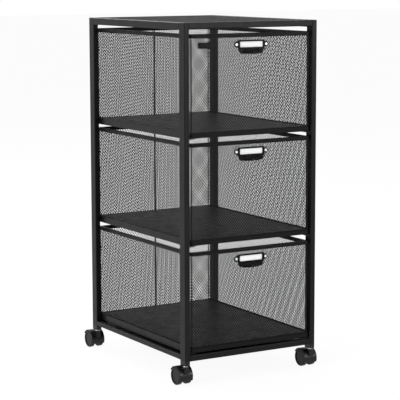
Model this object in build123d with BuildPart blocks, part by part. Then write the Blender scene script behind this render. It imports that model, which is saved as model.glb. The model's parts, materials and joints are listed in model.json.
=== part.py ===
from build123d import *
import os

# A rolling file cabinet: a tube frame on four swivel casters, with three wire mesh drawers.
# The origin lies on the floor, in the middle of the ground that the whole cabinet covers.
# +X is to the right of someone who faces the drawers, +Y runs from the drawer fronts to the
# back, and +Z is up. All lengths are in millimetres.

# The frame
frame_width = 270.0
frame_depth = 350.0
frame_height = 588.8
drawer_count = 3

# Clearances, and the share of a fastener's head that is rounded over
running_clearance = 0.05
socket_clearance = 0.1
seat_clearance = 0.3
cut_overrun = 1.0
dome_share = 0.6

# Posts and rails
post_width = 10.0
post_depth = 18.0
tube_wall = 1.0
tube_edge_radius = 1.5
bend_radius_share = 0.2
rail_thickness = 10.0
top_side_rail_height = 12.6
top_cross_rail_height = 10.7
bottom_side_rail_height = 8.3
bottom_cross_rail_height = 10.8
panel_thickness = 1.0
top_panel_recess = 0.6

# Plastic feet in the post ends
foot_height = 7.8
foot_plug_length = 14.0
foot_edge_radius = 1.2

# Casters
wheel_radius = 15.65
wheel_width = 8.1
wheel_edge_radius = 1.6
wheel_dish_depth = 1.0
wheel_rim_width = 3.8
axle_radius = 2.0
axle_reach = 10.5
caster_trail = 13.0
web_thickness = 9.0
web_to_wheel = 0.4
axle_boss_radius = 7.5
fender_clearance = 0.8
fender_thickness = 1.2
fender_front_drop = 8.0
fender_rear_rise = 10.5
stem_radius = 3.0
stem_socket_depth = 19.0
stem_bead_height = 2.0
stem_bead_extra = 0.5
stem_collar_radius = 4.2
stem_collar_thickness = 0.8
stem_hood_depth = 12.5
hood_boss_radius = 5.6
hood_boss_height = 2.6
caster_gap = 2.2

# Drawer runners, the lowest pair set below an even spacing
runner_rise = 1.65
lowest_level_drop = 3.0
runner_height = 11.5
runner_thickness = 1.2
runner_ledge = 12.0
runner_end_inset = 1.0
rivet_radius = 1.6
rivet_head_radius = 3.0
rivet_head_height = 1.0
rivet_tail_radius = 2.4
rivet_tail_height = 0.8

# Drawers
drawer_setback = 1.5
drawer_rear_gap = 3.0
drawer_side_gap = 1.8
drawer_headroom = 6.9
ring_width = 5.0
ring_corner_radius = 4.0
rim_height = 5.7
rim_edge_radius = 1.4
base_height = 8.0
base_edge_radius = 0.8
floor_thickness = 1.0

# Mesh
mesh_thickness = 1.0
mesh_margin = 2.5
mesh_gap_share = 0.86
side_net_columns = 8
cross_net_columns = 6
wall_net_rows = 4
top_net_columns = 6
top_net_rows = 8
seam_width = 3.0

# Label holder and pull on each drawer
holder_width = 54.0
holder_height = 15.5
holder_depth = 2.0
holder_corner_radius = 2.0
holder_drop = 6.2
window_side_margin = 3.8
window_edge_margin = 2.9
window_corner_radius = 1.2
card_thickness = 0.4
card_margin = 1.5
card_clearance = 0.15
ear_radius = 5.0
ear_screw_offset = 3.0
sheet_thickness = 1.0
pull_height = 8.0
pull_taper = 4.5
pull_dome_radius = 9.0
pull_dome_inset = 7.0
pull_wall = 1.0

# Screws and nuts that hold the label holder to the mesh
screw_radius = 1.2
screw_head_radius = 2.5
screw_head_height = 1.3
screw_slot_width = 0.8
screw_slot_depth = 0.6
screw_end_length = 0.3
nut_size = 4.4
nut_thickness = 1.4
mesh_land = 1.2

# Bare plate on the top drawer
plate_width = 33.0
plate_height = 10.5
plate_thickness = 1.2
plate_corner_radius = 1.0
plate_edge_radius = 0.4
plate_from_side = 15.5
plate_drop = 8.7

# Heights above the floor, from the casters up
hood_top_z = wheel_radius + wheel_radius + fender_thickness + fender_clearance
foot_z = hood_top_z + caster_gap
post_z = foot_z + foot_height
bottom_side_rail_z = post_z + (bottom_cross_rail_height - bottom_side_rail_height) / 2
bottom_rail_top_z = post_z + bottom_cross_rail_height
first_runner_z = bottom_rail_top_z + runner_rise
top_z = foot_z + frame_height
top_rail_z = top_z - top_side_rail_height
drawer_pitch = (top_rail_z - first_runner_z - lowest_level_drop) / drawer_count
upper_lifts = [
    lowest_level_drop + level * drawer_pitch for level in range(1, drawer_count)
]
level_lifts = [0, *upper_lifts]

# The frame's faces, with the whole cabinet centred over the origin
half_width = frame_width / 2
inner_x = half_width - post_width
post_x = half_width - post_width / 2
mesh_inset = (ring_width - mesh_thickness) / 2
front_overhang = pull_dome_radius - drawer_setback - mesh_inset
rear_overhang = caster_trail + wheel_radius - post_depth / 2
front_y = (front_overhang - rear_overhang - frame_depth) / 2
back_y = front_y + frame_depth
post_ys = {"front": front_y + post_depth / 2, "rear": back_y - post_depth / 2}
middle_y = (front_y + back_y) / 2
sides = {"left": -1, "right": 1}

# The lowest drawer's box
drawer_half = inner_x - runner_thickness - drawer_side_gap
drawer_front_y = front_y + drawer_setback
drawer_back_y = back_y - drawer_rear_gap
drawer_depth = drawer_back_y - drawer_front_y
drawer_middle_y = (drawer_front_y + drawer_back_y) / 2
drawer_z = first_runner_z + runner_thickness + seat_clearance
base_top_z = drawer_z + base_height
rim_top_z = first_runner_z + drawer_pitch - drawer_headroom
rim_z = rim_top_z - rim_height
wall_height = rim_z - base_top_z
mesh_half = drawer_half - mesh_inset
mesh_front_y = drawer_front_y + mesh_inset
mesh_depth = drawer_depth - mesh_inset * 2
inner_mesh_depth = mesh_depth - mesh_thickness * 2

# The label holder's place on the front mesh
holder_z = rim_z - holder_drop - holder_height / 2
window_width = holder_width - window_side_margin * 2
window_height = holder_height - window_edge_margin * 2
pull_bottom_width = holder_width - pull_taper * 2
pull_dome_length = holder_width - pull_dome_inset * 2
screw_x = holder_width / 2 + ear_screw_offset
rivet_y_places = tuple(post_ys.values())
runner_rivet_z = first_runner_z + (runner_thickness + runner_height) / 2

os.makedirs("parts", exist_ok=True)


def write_piece(shape, name):
    shape.label = name
    export_step(shape, f"parts/{name}.step")


def side_plane(x):
    """A plane square to X, with its own x along Y and its own y up."""
    return Plane(origin=(x, 0, 0), x_dir=(0, 1, 0), z_dir=(1, 0, 0))


def front_plane(y, z=0):
    """A plane that faces the front, with its own x along X and its own y up."""
    return Plane(origin=(0, y, z), x_dir=(1, 0, 0), z_dir=(0, -1, 0))


def inner_radius(outer_radius, wall):
    """The radius inside a bent wall, never sharper than a share of the wall."""
    return max(outer_radius - wall, wall * bend_radius_share)


# Frame


def make_post(side, y):
    """A rectangular tube with a welded top, drilled for the runners' rivets on its inner face."""
    with BuildPart() as post:
        with BuildSketch(Plane(origin=(side * post_x, y, post_z))):
            RectangleRounded(post_width, post_depth, tube_edge_radius)
        extrude(amount=top_z - post_z)
        fillet(post.faces().sort_by(Axis.Z)[-1].edges(), tube_edge_radius / 2)
        with BuildSketch(Plane(origin=(side * post_x, y, post_z))):
            RectangleRounded(
                post_width - tube_wall * 2,
                post_depth - tube_wall * 2,
                inner_radius(tube_edge_radius, tube_wall),
            )
        extrude(amount=top_z - post_z - tube_wall, mode=Mode.SUBTRACT)
        with BuildSketch(side_plane(side * post_x)):
            for lift in level_lifts:
                with Locations((y, runner_rivet_z + lift)):
                    Circle(rivet_radius + running_clearance)
        extrude(amount=-side * post_width, mode=Mode.SUBTRACT)
    return post.part


def make_tube(plane, width, height, length):
    """A rectangular tube along a plane's normal."""
    with BuildPart() as tube:
        with BuildSketch(plane):
            RectangleRounded(width, height, tube_edge_radius)
            RectangleRounded(
                width - tube_wall * 2,
                height - tube_wall * 2,
                inner_radius(tube_edge_radius, tube_wall),
                mode=Mode.SUBTRACT,
            )
        extrude(amount=length)
    return tube.part


def make_side_rail(side, z, height):
    """A rail from the front post to the rear post of one side."""
    x = side * (half_width - rail_thickness / 2)
    start = Plane(
        origin=(x, front_y + post_depth, z + height / 2),
        x_dir=(1, 0, 0),
        z_dir=(0, 1, 0),
    )
    return make_tube(start, rail_thickness, height, frame_depth - post_depth * 2)


def make_cross_rail(outer_y, inward, z, height):
    """A rail between the two front posts or the two rear posts."""
    start = Plane(
        origin=(-inner_x, outer_y + inward * rail_thickness / 2, z + height / 2),
        x_dir=(0, 1, 0),
        z_dir=(1, 0, 0),
    )
    return make_tube(start, rail_thickness, height, inner_x * 2)


for end, y in post_ys.items():
    for side_name, side in sides.items():
        write_piece(make_post(side, y), f"{end}_{side_name}_post")

for side_name, side in sides.items():
    write_piece(
        make_side_rail(side, top_rail_z, top_side_rail_height), f"top_{side_name}_rail"
    )
    write_piece(
        make_side_rail(side, bottom_side_rail_z, bottom_side_rail_height),
        f"bottom_{side_name}_rail",
    )

top_cross_z = top_z - top_cross_rail_height
for end, outer_y, inward in (("front", front_y, 1), ("rear", back_y, -1)):
    write_piece(
        make_cross_rail(outer_y, inward, top_cross_z, top_cross_rail_height),
        f"top_{end}_rail",
    )
    write_piece(
        make_cross_rail(outer_y, inward, post_z, bottom_cross_rail_height),
        f"bottom_{end}_rail",
    )

# Panels


def net_sketch(width, height, columns, rows):
    """Cuts staggered diamonds through the sketch that is open, inside a plain margin."""
    pitch_x = (width - mesh_margin * 2) / columns
    pitch_y = (height - mesh_margin * 2) / rows
    half_x = pitch_x * mesh_gap_share / 2
    half_y = pitch_y * mesh_gap_share / 2
    for fewer in (0, 1):
        with GridLocations(pitch_x, pitch_y, columns - fewer, rows - fewer):
            Polygon(
                (half_x, 0), (0, half_y), (-half_x, 0), (0, -half_y),
                mode=Mode.SUBTRACT,
            )


panel_width = inner_x * 2
panel_depth = frame_depth - rail_thickness * 2

with BuildPart() as top_panel:
    top_panel_z = top_z - top_panel_recess - panel_thickness
    with BuildSketch(Plane(origin=(0, middle_y, top_panel_z))):
        Rectangle(panel_width, panel_depth)
        net_sketch(panel_width, panel_depth, top_net_columns, top_net_rows)
    extrude(amount=panel_thickness)
write_piece(top_panel.part, "top_panel")

with BuildPart() as base_panel:
    base_panel_z = post_z + (bottom_cross_rail_height - panel_thickness) / 2
    with BuildSketch(Plane(origin=(0, middle_y, base_panel_z))):
        Rectangle(panel_width, panel_depth)
    extrude(amount=panel_thickness)
write_piece(base_panel.part, "base_panel")

# Runners


def make_runner(side, z):
    """An angle along one side, with a stop turned up at its rear end."""
    length = frame_depth - runner_end_inset * 2
    start = Plane(
        origin=(side * inner_x, front_y + runner_end_inset, z),
        x_dir=(-side, 0, 0),
        z_dir=(0, side, 0),
    )
    stop_y = drawer_back_y + seat_clearance + runner_thickness / 2
    stop_x = side * (inner_x - runner_thickness - (runner_ledge - runner_thickness) / 2)
    with BuildPart() as runner:
        with BuildSketch(start):
            Rectangle(runner_ledge, runner_thickness, align=Align.MIN)
            Rectangle(runner_thickness, runner_height, align=Align.MIN)
        extrude(amount=side * length)
        with BuildSketch(Plane(origin=(stop_x, stop_y, z + runner_thickness))):
            Rectangle(runner_ledge - runner_thickness, runner_thickness)
        extrude(amount=runner_height - runner_thickness)
        with BuildSketch(side_plane(side * inner_x)):
            for y in rivet_y_places:
                with Locations((y, z + (runner_thickness + runner_height) / 2)):
                    Circle(rivet_radius + running_clearance)
        extrude(amount=-side * runner_thickness * 2, mode=Mode.SUBTRACT)
    return runner.part


def make_rivet(plane, grip, radius, head_radius, head_height, tail_radius, tail_height):
    """A rivet along a plane's normal: domed head outside, flat tail behind the grip."""
    with BuildPart() as rivet:
        with BuildSketch(plane):
            Circle(head_radius)
        extrude(amount=head_height)
        top_face = rivet.faces().sort_by(Axis(plane.origin, plane.z_dir))[-1]
        fillet(top_face.edges(), head_height * dome_share)
        with BuildSketch(plane):
            Circle(radius)
        extrude(amount=-grip - tail_height)
        with BuildSketch(plane.offset(-grip)):
            Circle(tail_radius)
        extrude(amount=-tail_height)
    return rivet.part


level_names = ("lower", "middle", "upper")
for lift, level_name in zip(level_lifts, level_names):
    pair = [make_runner(side, first_runner_z + lift) for side in sides.values()]
    write_piece(Compound(pair), f"{level_name}_runners")

runner_rivets = []
for lift in level_lifts:
    for side in sides.values():
        for y in rivet_y_places:
            place = Plane(
                origin=(side * (inner_x - runner_thickness), y, runner_rivet_z + lift),
                x_dir=(0, 1, 0),
                z_dir=(-side, 0, 0),
            )
            runner_rivets.append(
                make_rivet(
                    place,
                    runner_thickness + tube_wall,
                    rivet_radius,
                    rivet_head_radius,
                    rivet_head_height,
                    rivet_tail_radius,
                    rivet_tail_height,
                )
            )
write_piece(Compound(runner_rivets), "runner_rivets")

# Feet and caster stems

socket_top_z = foot_z + stem_socket_depth
stem_low_z = hood_top_z - stem_hood_depth
stem_spots = [
    (end, side_name, side * post_x, y)
    for end, y in post_ys.items()
    for side_name, side in sides.items()
]


def make_foot(x, y):
    """A moulded foot: the post's outline below, a plug in the tube above, a socket for the stem."""
    with BuildPart() as foot:
        with BuildSketch(Plane(origin=(x, y, foot_z))):
            RectangleRounded(post_width, post_depth, tube_edge_radius)
        extrude(amount=foot_height)
        fillet(foot.faces().sort_by(Axis.Z)[0].edges(), foot_edge_radius)
        with BuildSketch(Plane(origin=(x, y, post_z))):
            RectangleRounded(
                post_width - (tube_wall + socket_clearance) * 2,
                post_depth - (tube_wall + socket_clearance) * 2,
                inner_radius(tube_edge_radius, tube_wall),
            )
        extrude(amount=foot_plug_length)
        with BuildSketch(Plane(origin=(x, y, foot_z))):
            Circle(stem_radius + running_clearance)
        extrude(amount=stem_socket_depth, mode=Mode.SUBTRACT)
    return foot.part


def make_stem(x, y):
    """A steel stem: seated in the foot, with a collar over the hood and a bead that holds it."""
    profile_plane = Plane(origin=(x, y, 0), x_dir=(1, 0, 0), z_dir=(0, -1, 0))
    collar_z = hood_top_z + seat_clearance
    bead_radius = stem_radius + stem_bead_extra
    with BuildPart() as stem:
        with BuildSketch(profile_plane):
            with BuildLine():
                Polyline(
                    (0, stem_low_z),
                    (stem_radius, stem_low_z),
                    (bead_radius, stem_low_z + stem_bead_extra),
                    (bead_radius, stem_low_z + stem_bead_height - stem_bead_extra),
                    (stem_radius, stem_low_z + stem_bead_height),
                    (stem_radius, collar_z),
                    (stem_collar_radius, collar_z),
                    (stem_collar_radius, collar_z + stem_collar_thickness),
                    (stem_radius, collar_z + stem_collar_thickness),
                    (stem_radius, socket_top_z - seat_clearance),
                    (0, socket_top_z - seat_clearance),
                    close=True,
                )
            make_face()
        revolve(axis=Axis((x, y, 0), (0, 0, 1)))
    return stem.part


write_piece(Compound([make_foot(x, y) for _, _, x, y in stem_spots]), "post_feet")
write_piece(Compound([make_stem(x, y) for _, _, x, y in stem_spots]), "caster_stems")

# Casters

fender_inner = wheel_radius + fender_clearance
fender_outer = fender_inner + fender_thickness
wheel_inner_x = web_thickness / 2 + web_to_wheel
caster_half = wheel_inner_x + wheel_width


def make_hood(x, y):
    """A moulded hood: a web between the wheels, a fender over them and a boss for the stem."""
    wheel_y = y + caster_trail
    with BuildPart() as hood:
        with BuildSketch(side_plane(x)):
            with Locations((wheel_y, wheel_radius)):
                Circle(fender_outer)
                Circle(fender_inner, mode=Mode.SUBTRACT)
            with BuildLine():
                Polyline(
                    (wheel_y + fender_outer, wheel_radius + fender_rear_rise),
                    (wheel_y, wheel_radius),
                    (wheel_y - fender_outer, wheel_radius - fender_front_drop),
                    (wheel_y - fender_outer, wheel_radius + fender_outer),
                    (wheel_y + fender_outer, wheel_radius + fender_outer),
                    close=True,
                )
            make_face(mode=Mode.INTERSECT)
        extrude(amount=caster_half, both=True)
        with BuildSketch(side_plane(x)):
            with BuildLine():
                Polyline(
                    (wheel_y + fender_outer, wheel_radius + fender_rear_rise),
                    (wheel_y, wheel_radius - axle_boss_radius / 2),
                    (wheel_y - fender_outer, wheel_radius - fender_front_drop),
                    (wheel_y - fender_outer, wheel_radius + fender_outer),
                    (wheel_y + fender_outer, wheel_radius + fender_outer),
                    close=True,
                )
            make_face()
            with Locations((wheel_y, wheel_radius)):
                Circle(fender_outer, mode=Mode.INTERSECT)
                Circle(axle_boss_radius)
        extrude(amount=web_thickness / 2, both=True)
        with BuildSketch(Plane(origin=(x, y, hood_top_z - hood_boss_height))):
            Circle(hood_boss_radius)
        extrude(amount=hood_boss_height)
        with BuildSketch(Plane(origin=(x, y, stem_low_z))):
            Rectangle(web_thickness, hood_boss_radius * 2)
        extrude(amount=hood_top_z - hood_boss_height - stem_low_z)
        with BuildSketch(Plane(origin=(x, y, stem_low_z - seat_clearance))):
            Circle(stem_radius + running_clearance)
        extrude(amount=stem_hood_depth + cut_overrun, mode=Mode.SUBTRACT)
        with BuildSketch(Plane(origin=(x, y, stem_low_z - seat_clearance))):
            Circle(stem_radius + stem_bead_extra + running_clearance)
        extrude(amount=stem_bead_height + seat_clearance * 2, mode=Mode.SUBTRACT)
        with BuildSketch(side_plane(x)):
            with Locations((wheel_y, wheel_radius)):
                Circle(axle_radius + running_clearance)
        extrude(amount=caster_half, both=True, mode=Mode.SUBTRACT)
    return hood.part


def make_axle(x, y):
    with BuildPart() as axle:
        with BuildSketch(side_plane(x)):
            with Locations((y + caster_trail, wheel_radius)):
                Circle(axle_radius)
        extrude(amount=axle_reach, both=True)
    return axle.part


def make_wheel(x, y, side):
    """A solid wheel with a dished outer face, bored from its inner face for the axle."""
    inner_face = Plane(
        origin=(x + side * wheel_inner_x, y + caster_trail, wheel_radius),
        x_dir=(0, 1, 0),
        z_dir=(side, 0, 0),
    )
    with BuildPart() as wheel:
        with BuildSketch(inner_face):
            Circle(wheel_radius)
        extrude(amount=wheel_width)
        fillet(wheel.edges().filter_by(GeomType.CIRCLE), wheel_edge_radius)
        with BuildSketch(inner_face.offset(wheel_width - wheel_dish_depth)):
            Circle(wheel_radius - wheel_rim_width)
        extrude(amount=wheel_dish_depth, mode=Mode.SUBTRACT)
        with BuildSketch(inner_face):
            Circle(axle_radius + running_clearance)
        extrude(
            amount=axle_reach - wheel_inner_x + seat_clearance, mode=Mode.SUBTRACT
        )
    return wheel.part


for end, side_name, x, y in stem_spots:
    caster = f"{end}_{side_name}_caster"
    write_piece(make_hood(x, y), f"{caster}_hood")
    write_piece(make_axle(x, y), f"{caster}_axle")
    for wheel_name, side in sides.items():
        write_piece(make_wheel(x, y, side), f"{caster}_{wheel_name}_wheel")

# Drawers


def make_ring(z, height, edge_radius, rounded_face):
    """A rectangular ring of the drawer's outline, with one flat face and one rounded one."""
    with BuildPart() as ring:
        with BuildSketch(Plane(origin=(0, drawer_middle_y, z))):
            RectangleRounded(drawer_half * 2, drawer_depth, ring_corner_radius)
            RectangleRounded(
                (drawer_half - ring_width) * 2,
                drawer_depth - ring_width * 2,
                inner_radius(ring_corner_radius, ring_width),
                mode=Mode.SUBTRACT,
            )
        extrude(amount=height)
        fillet(ring.faces().sort_by(Axis.Z)[rounded_face].edges(), edge_radius)
    return ring.part


def make_cross_wall(outer_y, seam):
    """The mesh across the front, with lands for the holder's screws, or the back, with its seam."""
    with BuildPart() as wall:
        with BuildSketch(front_plane(outer_y, base_top_z + wall_height / 2)):
            Rectangle(mesh_half * 2, wall_height)
            net_sketch(mesh_half * 2, wall_height, cross_net_columns, wall_net_rows)
            if seam:
                Rectangle(seam_width, wall_height)
            else:
                drop = holder_z - base_top_z - wall_height / 2
                with Locations((-screw_x, drop), (screw_x, drop)):
                    Circle(screw_head_radius + mesh_land)
                    Circle(screw_radius + running_clearance, mode=Mode.SUBTRACT)
        extrude(amount=-mesh_thickness)
    return wall.part


def make_side_wall(side):
    outer = side_plane(side * mesh_half)
    with BuildPart() as wall:
        with BuildSketch(outer):
            with Locations((drawer_middle_y, base_top_z + wall_height / 2)):
                Rectangle(inner_mesh_depth, wall_height)
                net_sketch(
                    inner_mesh_depth, wall_height, side_net_columns, wall_net_rows
                )
        extrude(amount=-side * mesh_thickness)
    return wall.part


with BuildPart() as floor_panel:
    with BuildSketch(Plane(origin=(0, drawer_middle_y, base_top_z))):
        Rectangle((mesh_half - mesh_thickness) * 2, inner_mesh_depth)
    extrude(amount=floor_thickness)

rim = make_ring(rim_z, rim_height, rim_edge_radius, -1)
base_frame = make_ring(drawer_z, base_height, base_edge_radius, 0)
mesh_walls = Compound(
    [
        make_cross_wall(mesh_front_y, seam=False),
        make_cross_wall(mesh_front_y + mesh_depth - mesh_thickness, seam=True),
        make_side_wall(-1),
        make_side_wall(1),
    ]
)

# Label holder, card and screws

holder_back = front_plane(mesh_front_y, holder_z)
holder_low = -holder_height / 2
pull_low = holder_low - pull_height
pull_axis_y = mesh_front_y + (pull_dome_length**2 / 4 - pull_dome_radius**2) / (
    pull_dome_radius * 2
)
card_width = window_width + card_margin * 2
card_height = window_height + card_margin * 2
pocket_depth = card_thickness + card_clearance * 2
pocket_width = card_width + card_clearance * 2
pocket_low = -card_height / 2 - card_clearance


def make_pull_dome(radius):
    """The pull's bulge, round in plan and in section, cut off flat by the mesh."""
    low_z = holder_z + pull_low
    with BuildPart() as dome:
        with BuildSketch(side_plane(0)):
            with BuildLine():
                RadiusArc(
                    (mesh_front_y - radius, low_z), (mesh_front_y, low_z + radius), radius
                )
                Polyline(
                    (mesh_front_y, low_z + radius),
                    (pull_axis_y, low_z + radius),
                    (pull_axis_y, low_z),
                    (mesh_front_y - radius, low_z),
                )
            make_face()
        revolve(axis=Axis((0, pull_axis_y, 0), (0, 0, 1)))
        with BuildSketch(front_plane(mesh_front_y, low_z)):
            Rectangle(holder_width, pull_dome_radius * 4)
        extrude(amount=pull_dome_radius * 2, mode=Mode.INTERSECT)
    return dome.part


with BuildPart() as label_holder:
    with BuildSketch(holder_back):
        RectangleRounded(holder_width, holder_height, holder_corner_radius)
    extrude(amount=holder_depth)
    with BuildSketch(holder_back):
        SlotCenterToCenter(screw_x * 2, ear_radius * 2)
        with BuildLine():
            Polyline(
                (-pull_bottom_width / 2, pull_low),
                (-holder_width / 2, holder_low + holder_corner_radius),
                (holder_width / 2, holder_low + holder_corner_radius),
                (pull_bottom_width / 2, pull_low),
                close=True,
            )
        make_face()
    extrude(amount=sheet_thickness)
    add(make_pull_dome(pull_dome_radius))
    add(make_pull_dome(pull_dome_radius - pull_wall), mode=Mode.SUBTRACT)
    with BuildSketch(holder_back):
        with Locations((0, pocket_low)):
            Rectangle(
                pocket_width, holder_height, align=(Align.CENTER, Align.MIN)
            )
    extrude(amount=pocket_depth, mode=Mode.SUBTRACT)
    with BuildSketch(holder_back):
        RectangleRounded(window_width, window_height, window_corner_radius)
        with Locations((-screw_x, 0), (screw_x, 0)):
            Circle(screw_radius + running_clearance)
    extrude(amount=holder_depth, mode=Mode.SUBTRACT)

with BuildPart() as label_card:
    with BuildSketch(holder_back.offset(card_clearance)):
        Rectangle(card_width, card_height)
    extrude(amount=card_thickness)


def make_screw(x):
    """A slotted screw through an ear and the mesh."""
    seat = front_plane(mesh_front_y - sheet_thickness, holder_z)
    shank = sheet_thickness + mesh_thickness + nut_thickness + screw_end_length
    with BuildPart() as screw:
        with BuildSketch(seat):
            with Locations((x, 0)):
                Circle(screw_head_radius)
        extrude(amount=screw_head_height)
        top_face = screw.faces().sort_by(Axis.Y)[0]
        fillet(top_face.edges(), screw_head_height * dome_share)
        with BuildSketch(seat):
            with Locations((x, 0)):
                Circle(screw_radius)
        extrude(amount=-shank)
        with BuildSketch(seat.offset(screw_head_height - screw_slot_depth)):
            with Locations((x, 0)):
                Rectangle(screw_head_radius * 2, screw_slot_width)
        extrude(amount=screw_slot_depth, mode=Mode.SUBTRACT)
    return screw.part


def make_nut(x):
    """A hexagonal nut behind the mesh."""
    with BuildPart() as nut:
        with BuildSketch(front_plane(mesh_front_y + mesh_thickness, holder_z)):
            with Locations((x, 0)):
                RegularPolygon(nut_size / 2, 6, major_radius=False)
                Circle(screw_radius + running_clearance, mode=Mode.SUBTRACT)
        extrude(amount=-nut_thickness)
    return nut.part


label_screws = Compound(
    [make_screw(-screw_x), make_nut(-screw_x), make_screw(screw_x), make_nut(screw_x)]
)

drawer_pieces = {
    "rim": rim,
    "base_frame": base_frame,
    "mesh_walls": mesh_walls,
    "floor_panel": floor_panel.part,
    "label_holder": label_holder.part,
    "label_card": label_card.part,
    "label_screws": label_screws,
}
drawer_names = ("bottom_drawer", "middle_drawer", "top_drawer")
for lift, drawer in zip(level_lifts, drawer_names):
    for piece_name, piece in drawer_pieces.items():
        raised = piece.moved(Location((0, 0, lift)))
        write_piece(raised, f"{drawer}_{piece_name}")

with BuildPart() as name_plate:
    plate_x = plate_from_side + plate_width / 2 - drawer_half
    plate_z = rim_z + level_lifts[-1] - plate_drop - plate_height / 2
    with BuildSketch(front_plane(mesh_front_y, plate_z)):
        with Locations((plate_x, 0)):
            RectangleRounded(plate_width, plate_height, plate_corner_radius)
    extrude(amount=plate_thickness)
    front_edges = name_plate.faces().sort_by(Axis.Y)[0].edges()
    fillet(front_edges, plate_edge_radius)
write_piece(name_plate.part, "top_drawer_name_plate")
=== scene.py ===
"""The finish of the rolling file cabinet: fine expanded mesh, paint, plastic and the studio.

Lengths are in metres, in the frame's axes: +X to the right, +Y to the back, +Z up.
"""

import json
import math

import bmesh
import bpy
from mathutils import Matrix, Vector


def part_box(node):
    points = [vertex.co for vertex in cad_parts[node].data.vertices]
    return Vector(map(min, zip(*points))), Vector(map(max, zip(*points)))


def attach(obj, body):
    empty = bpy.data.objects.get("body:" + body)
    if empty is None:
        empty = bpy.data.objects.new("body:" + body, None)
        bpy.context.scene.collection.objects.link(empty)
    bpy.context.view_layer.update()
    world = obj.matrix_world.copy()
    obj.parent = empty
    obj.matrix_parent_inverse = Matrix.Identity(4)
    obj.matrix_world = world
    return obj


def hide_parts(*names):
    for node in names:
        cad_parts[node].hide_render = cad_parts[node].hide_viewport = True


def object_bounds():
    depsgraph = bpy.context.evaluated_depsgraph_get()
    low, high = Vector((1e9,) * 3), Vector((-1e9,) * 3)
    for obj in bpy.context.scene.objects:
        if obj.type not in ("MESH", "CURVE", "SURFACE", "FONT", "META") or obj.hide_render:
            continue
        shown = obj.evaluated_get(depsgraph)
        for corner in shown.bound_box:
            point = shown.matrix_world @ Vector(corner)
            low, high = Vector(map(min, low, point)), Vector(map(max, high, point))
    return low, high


MM = 0.001

# Photograph's camera, solved from the frame's corners, with angles in radians
image_pixels = 400
focal_pixels = 1614.5
sensor_width = 36.0
camera_yaw = 0.5369
camera_pitch = 0.1432
camera_roll = -0.0025
camera_from_foot = Vector((-1.36242, -2.33969, 0.68052))
camera_near = 0.05
camera_far = 60.0

# Cells of the expanded mesh, wide and high, a little smaller on the drawers' side walls
diamond = (5.0 * MM, 5.9 * MM)
side_diamond = (4.4 * MM, 5.2 * MM)

# Strands, a share of a cell wide, crowned, tilted by a slope and crossed in two layers
strand_width_share = 0.2
strand_start_share = 0.25
strand_thickness = 0.3 * MM
strand_crown = 0.09 * MM
strand_slope = -0.1
layer_step = 0.06 * MM
spare_strands = 3

# Hems and seam, and the thickness of the plain net that the mesh takes the place of
hem_width = 1.6 * MM
hem_thickness = 0.9 * MM
seam_width = 3.0 * MM
cad_sheet = 1.0 * MM

# Noise gathers round a half, so only its middle, or its core, is spread over a finish's range
noise_middle = (0.3, 0.7)
noise_core = (0.35, 0.65)
whole_range = (0.0, 1.0)

# Blue of a black coat, as a share of its red and green
blue_share = 1.08

# Textures: baked powder paint with orange peel, and nylon with a spark-eroded grain
powder = {
    "cloud": dict(scale=9.0, detail=4.0),
    "smear": dict(scale=55.0, detail=3.0),
    "grain": dict(scale=900.0, detail=2.0),
    "relief": dict(strength=0.25, depth=0.25 * MM),
}
nylon = {
    "cloud": dict(scale=60.0, detail=3.0),
    "smear": dict(scale=240.0, detail=2.0),
    "grain": dict(scale=2600.0, detail=1.0),
    "relief": dict(strength=0.2, depth=0.1 * MM),
}

# Black finishes by the record's material slots: two greys that clouds range between,
# the range of roughness and the specular level
black_finishes = {
    "painted_frame": dict(texture=powder, greys=(0.0025, 0.0045), roughness=(0.3, 0.4), specular=0.15),
    "painted_drawer": dict(texture=powder, greys=(0.003, 0.005), roughness=(0.38, 0.5), specular=0.1),
    "wire_mesh": dict(texture=powder, greys=(0.004, 0.006), roughness=(0.42, 0.56), specular=0.12),
    "holder_steel": dict(texture=powder, greys=(0.002, 0.003), roughness=(0.24, 0.34), specular=0.08),
    "dark_steel": dict(texture=powder, greys=(0.012, 0.018), roughness=(0.3, 0.42), specular=0.3),
    "black_plastic": dict(texture=nylon, greys=(0.003, 0.006), roughness=(0.26, 0.36), specular=0.25),
    "wheel_plastic": dict(texture=nylon, greys=(0.003, 0.006), roughness=(0.2, 0.3), specular=0.14),
}

# Floor and world, where a strength of 1 is white
floor_size = 40.0
floor_grey = 0.93
floor_glow_share = 0.94
world_strength = 0.55

# Square soft boxes, with their power in watts
lamps = {
    "left_box": dict(place=(-2.4, -0.6, 1.5), size=1.6, power=60.0),
    "front_box": dict(place=(1.6, -2.8, 0.95), size=0.7, power=19.0),
    "top_box": dict(place=(0.2, 0.2, 2.8), size=1.8, power=25.0),
    "back_box": dict(place=(-0.5, 2.8, 2.5), size=1.4, power=50.0),
}

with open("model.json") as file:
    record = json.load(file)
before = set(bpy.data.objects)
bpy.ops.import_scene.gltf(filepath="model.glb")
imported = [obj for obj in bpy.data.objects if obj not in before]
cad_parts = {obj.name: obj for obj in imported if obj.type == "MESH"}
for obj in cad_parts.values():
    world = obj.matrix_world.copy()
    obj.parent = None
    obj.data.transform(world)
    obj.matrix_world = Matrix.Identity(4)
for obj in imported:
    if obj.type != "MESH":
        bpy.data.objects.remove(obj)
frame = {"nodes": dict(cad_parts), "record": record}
cad_low, cad_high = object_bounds()


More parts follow.
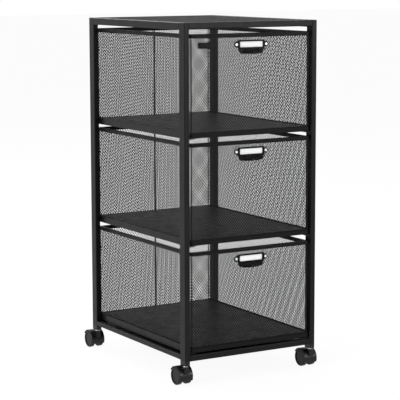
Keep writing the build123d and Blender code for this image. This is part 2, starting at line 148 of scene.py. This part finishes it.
def add_camera():
    """Places the camera from the frame's near lower corner, as the photograph was taken."""
    data = bpy.data.cameras.new("camera")
    data.sensor_width = sensor_width
    data.lens = sensor_width * focal_pixels / image_pixels
    data.clip_start = camera_near
    data.clip_end = camera_far
    camera = bpy.data.objects.new("camera", data)
    bpy.context.scene.collection.objects.link(camera)
    camera.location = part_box("post_feet")[0] + camera_from_foot
    ahead = Vector(
        (
            math.sin(camera_yaw) * math.cos(camera_pitch),
            math.cos(camera_yaw) * math.cos(camera_pitch),
            -math.sin(camera_pitch),
        )
    )
    camera.rotation_euler = ahead.to_track_quat("-Z", "Y").to_euler()
    camera.rotation_euler.rotate_axis("Z", camera_roll)
    bpy.context.scene.camera = camera


# Materials


def new_material(name):
    """A material with its node tree and its main shader."""
    material = bpy.data.materials.new(name)
    material.use_nodes = True
    tree = material.node_tree
    shader = tree.nodes["Principled BSDF"]
    return material, tree, shader


def add_node(tree, kind, **values):
    """Adds a node of one kind, with the settings that are given."""
    node = tree.nodes.new(kind)
    for key, value in values.items():
        setattr(node, key, value)
    return node


def noise(tree, scale, detail, stretch=None):
    """A noise value over the object, in its own metres."""
    point = add_node(tree, "ShaderNodeTexCoord").outputs["Object"]
    if stretch:
        mapping = add_node(tree, "ShaderNodeMapping")
        mapping.inputs["Scale"].default_value = stretch
        tree.links.new(point, mapping.inputs["Vector"])
        point = mapping.outputs["Vector"]
    node = add_node(tree, "ShaderNodeTexNoise")
    node.inputs["Scale"].default_value = scale
    node.inputs["Detail"].default_value = detail
    tree.links.new(point, node.inputs["Vector"])
    return node.outputs["Fac"]


def spread(tree, value, source, target):
    """Maps a value from one range to another, and holds it there."""
    node = add_node(tree, "ShaderNodeMapRange")
    node.inputs["From Min"].default_value = source[0]
    node.inputs["From Max"].default_value = source[1]
    node.inputs["To Min"].default_value = target[0]
    node.inputs["To Max"].default_value = target[1]
    tree.links.new(value, node.inputs["Value"])
    return node.outputs["Result"]


def colour(tree, shader, value, dark, light):
    """Gives the shader a colour between two tones, set by a noise value."""
    ramp = add_node(tree, "ShaderNodeValToRGB")
    ramp.color_ramp.elements[0].color = (*dark, 1.0)
    ramp.color_ramp.elements[1].color = (*light, 1.0)
    tree.links.new(spread(tree, value, noise_middle, whole_range), ramp.inputs["Fac"])
    tree.links.new(ramp.outputs["Color"], shader.inputs["Base Color"])


def bump(tree, shader, value, strength, depth):
    """Gives the shader a fine relief, raised by a noise value."""
    node = add_node(tree, "ShaderNodeBump")
    node.inputs["Strength"].default_value = strength
    node.inputs["Distance"].default_value = depth
    tree.links.new(value, node.inputs["Height"])
    tree.links.new(node.outputs["Normal"], shader.inputs["Normal"])


def grey(level):
    """A black coat's colour: neutral, a touch cool."""
    return (level, level, level * blue_share)


def black_finish(name, texture, greys, roughness, specular):
    """Paint or plastic with faint clouds in its tone, an uneven gloss and a fine grain."""
    material, tree, shader = new_material(name)
    cloud = noise(tree, **texture["cloud"])
    colour(tree, shader, cloud, dark=grey(greys[0]), light=grey(greys[1]))
    smear = noise(tree, **texture["smear"])
    tree.links.new(spread(tree, smear, noise_core, roughness), shader.inputs["Roughness"])
    shader.inputs["Specular IOR Level"].default_value = specular
    bump(tree, shader, noise(tree, **texture["grain"]), **texture["relief"])
    return material


def bare_steel(name):
    """Zinc plated steel with a drawn grain."""
    material, tree, shader = new_material(name)
    grain = noise(tree, scale=400.0, detail=3.0, stretch=(1.0, 1.0, 12.0))
    colour(tree, shader, grain, dark=(0.58, 0.59, 0.61), light=(0.76, 0.77, 0.79))
    roughness = spread(tree, grain, source=noise_middle, target=(0.22, 0.4))
    tree.links.new(roughness, shader.inputs["Roughness"])
    shader.inputs["Metallic"].default_value = 1.0
    bump(tree, shader, grain, strength=0.1, depth=0.05 * MM)
    return material


def card_paper(name):
    """White card: faint fibres and a dull face."""
    material, tree, shader = new_material(name)
    fibre = noise(tree, scale=1800.0, detail=3.0, stretch=(1.0, 1.0, 3.0))
    colour(tree, shader, fibre, dark=(0.86, 0.87, 0.87), light=(0.93, 0.93, 0.93))
    shader.inputs["Roughness"].default_value = 0.75
    bump(tree, shader, fibre, strength=0.15, depth=0.05 * MM)
    return material


materials = {slot: black_finish(slot, **finish) for slot, finish in black_finishes.items()}
materials["zinc_steel"] = bare_steel("zinc_steel")
materials["white_card"] = card_paper("white_card")


def paint(piece, slot):
    """Gives a piece the finish of one of the record's material slots."""
    piece.data.materials.clear()
    piece.data.materials.append(materials[slot])


# Expanded mesh


def clip_line(start, step, width, height):
    """The ends of an endless line inside a rectangle from (0, 0), or None."""
    low, high = -math.inf, math.inf
    for origin, slope, limit in zip(start, step, (width, height)):
        crossings = sorted((-origin / slope, (limit - origin) / slope))
        low = max(low, crossings[0])
        high = min(high, crossings[1])
    if high <= low:
        return None
    return [(start[0] + step[0] * way, start[1] + step[1] * way) for way in (low, high)]


def add_bar(mesh, place, start, end, width, middle, thickness, slope=0.0):
    """A flat bar between two points of a sheet, closed at its ends, crowned on both faces."""
    run_x = end[0] - start[0]
    run_y = end[1] - start[1]
    length = math.hypot(run_x, run_y)
    side_x = -run_y / length * width / 2
    side_y = run_x / length * width / 2
    low = middle - thickness / 2
    high = middle + thickness / 2
    section = [
        (-1.0, low + strand_crown),
        (0.0, low),
        (1.0, low + strand_crown),
        (1.0, high - strand_crown),
        (0.0, high),
        (-1.0, high - strand_crown),
    ]
    rings = []
    for x, y in (start, end):
        ring = [
            mesh.verts.new(place(x + side_x * side, y + side_y * side, depth + slope * side_y * side))
            for side, depth in section
        ]
        rings.append(ring)
    for here in range(len(section)):
        after = (here + 1) % len(section)
        mesh.faces.new((rings[0][here], rings[0][after], rings[1][after], rings[1][here]))
    mesh.faces.new(reversed(rings[0]))
    mesh.faces.new(rings[1])


def add_strands(mesh, place, width, height, cell):
    """Two sets of slanting strands, which cross at the knuckles of cells of one size."""
    across, up = cell
    strand_width = across * strand_width_share
    count = int(width / across + height / up) + spare_strands
    for way in (1, -1):
        step = (across, way * up)
        for number in range(-count, count):
            start = (number * across + across * strand_start_share, 0.0)
            ends = clip_line(start, step, width, height)
            if ends:
                layer = layer_step * way
                add_bar(mesh, place, *ends, strand_width, layer, strand_thickness, strand_slope)


def add_hem(mesh, place, width, height, seam):
    """The sheet's folded edges, and a seam down its middle where it has one."""
    inset = hem_width / 2
    bars = [
        ((inset, 0.0), (inset, height), hem_width),
        ((width - inset, 0.0), (width - inset, height), hem_width),
        ((0.0, inset), (width, inset), hem_width),
        ((0.0, height - inset), (width, height - inset), hem_width),
    ]
    if seam:
        bars.append(((width / 2, 0.0), (width / 2, height), seam_width))
    for start, end, bar_width in bars:
        add_bar(mesh, place, start, end, bar_width, 0.0, hem_thickness)


def expanded_sheet(name, body, node, place, width, height, cell, seam=False):
    """Diamond mesh in place of a node's plain net. place turns (across, up, depth) into a point."""
    mesh = bmesh.new()
    add_strands(mesh, place, width, height, cell)
    add_hem(mesh, place, width, height, seam)
    bmesh.ops.recalc_face_normals(mesh, faces=mesh.faces)
    data = bpy.data.meshes.new(name)
    mesh.to_mesh(data)
    mesh.free()
    piece = bpy.data.objects.new(name, data)
    bpy.context.scene.collection.objects.link(piece)
    paint(piece, "wire_mesh")
    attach(piece, body)
    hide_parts(node)


def add_drawer_mesh(drawer):
    """The four mesh walls of a drawer, each in the middle of its CAD wall."""
    node = f"{drawer}_mesh_walls"
    low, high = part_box(node)
    width, length, height = high - low
    middle = cad_sheet / 2
    walls = {
        "front": lambda across, up, depth: (low.x + across, low.y + middle - depth, low.z + up),
        "back": lambda across, up, depth: (low.x + across, high.y - middle + depth, low.z + up),
        "left": lambda across, up, depth: (low.x + middle - depth, low.y + across, low.z + up),
        "right": lambda across, up, depth: (high.x - middle + depth, low.y + across, low.z + up),
    }
    for wall, place in walls.items():
        name = f"{drawer}_{wall}_mesh"
        if wall in ("front", "back"):
            expanded_sheet(name, drawer, node, place, width, height, diamond, seam=wall == "back")
        else:
            expanded_sheet(name, drawer, node, place, length, height, side_diamond)


def add_top_mesh():
    """The mesh between the top rails, in the middle of the CAD panel."""
    low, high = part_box("top_panel")
    width, length, _ = high - low
    middle = high.z - cad_sheet / 2
    expanded_sheet(
        "top_mesh",
        "frame",
        "top_panel",
        lambda across, up, depth: (low.x + across, low.y + up, middle + depth),
        width,
        length,
        diamond,
    )


# Studio


def background_rays(tree):
    """1 for rays that show the background itself or mirror it, otherwise 0."""
    path = add_node(tree, "ShaderNodeLightPath")
    direct = add_node(tree, "ShaderNodeMath", operation="MAXIMUM")
    tree.links.new(path.outputs["Is Camera Ray"], direct.inputs[0])
    tree.links.new(path.outputs["Is Glossy Ray"], direct.inputs[1])
    seen = add_node(tree, "ShaderNodeMath", operation="MAXIMUM")
    tree.links.new(direct.outputs[0], seen.inputs[0])
    tree.links.new(path.outputs["Is Transmission Ray"], seen.inputs[1])
    return seen.outputs[0]


def add_floor():
    """A floor that looks white to the camera and keeps a soft shadow."""
    reach = floor_size / 2
    data = bpy.data.meshes.new("floor")
    data.from_pydata(
        [(-reach, -reach, 0), (reach, -reach, 0), (reach, reach, 0), (-reach, reach, 0)],
        [],
        [(0, 1, 2, 3)],
    )
    floor = bpy.data.objects.new("floor", data)
    bpy.context.scene.collection.objects.link(floor)
    material = bpy.data.materials.new("floor")
    material.use_nodes = True
    tree = material.node_tree
    tree.nodes.clear()
    out = add_node(tree, "ShaderNodeOutputMaterial")
    diffuse = add_node(tree, "ShaderNodeBsdfDiffuse")
    diffuse.inputs["Color"].default_value = (floor_grey, floor_grey, floor_grey, 1.0)
    glow = add_node(tree, "ShaderNodeEmission")
    share = spread(tree, background_rays(tree), whole_range, (0.0, floor_glow_share))
    mix = add_node(tree, "ShaderNodeMixShader")
    tree.links.new(share, mix.inputs["Fac"])
    tree.links.new(diffuse.outputs[0], mix.inputs[1])
    tree.links.new(glow.outputs[0], mix.inputs[2])
    tree.links.new(mix.outputs[0], out.inputs["Surface"])
    data.materials.append(material)


def add_world():
    """Even, soft light all round, and white where the camera sees past the floor."""
    world = bpy.data.worlds.new("studio")
    bpy.context.scene.world = world
    world.use_nodes = True
    tree = world.node_tree
    tree.nodes.clear()
    out = add_node(tree, "ShaderNodeOutputWorld")
    sky = add_node(tree, "ShaderNodeBackground")
    sky.inputs["Color"].default_value = (1.0, 1.0, 1.0, 1.0)
    level = spread(tree, background_rays(tree), whole_range, (world_strength, 1.0))
    tree.links.new(level, sky.inputs["Strength"])
    tree.links.new(sky.outputs[0], out.inputs["Surface"])


def add_lamp(name, place, size, power):
    """A square soft box that faces the middle of the cabinet."""
    data = bpy.data.lights.new(name, "AREA")
    data.size = size
    data.energy = power
    lamp = bpy.data.objects.new(name, data)
    bpy.context.scene.collection.objects.link(lamp)
    lamp.location = place
    ahead = Vector((0.0, 0.0, cad_high.z / 2)) - lamp.location
    lamp.rotation_euler = ahead.to_track_quat("-Z", "Y").to_euler()


for part in frame["record"]["subparts"]:
    paint(frame["nodes"][part["node"]], part["material_slot"])

for drawer in ("bottom_drawer", "middle_drawer", "top_drawer"):
    add_drawer_mesh(drawer)
add_top_mesh()

add_camera()
add_floor()
add_world()
for name, lamp in lamps.items():
    add_lamp(name, **lamp)

bpy.context.scene.view_settings.view_transform = "Standard"
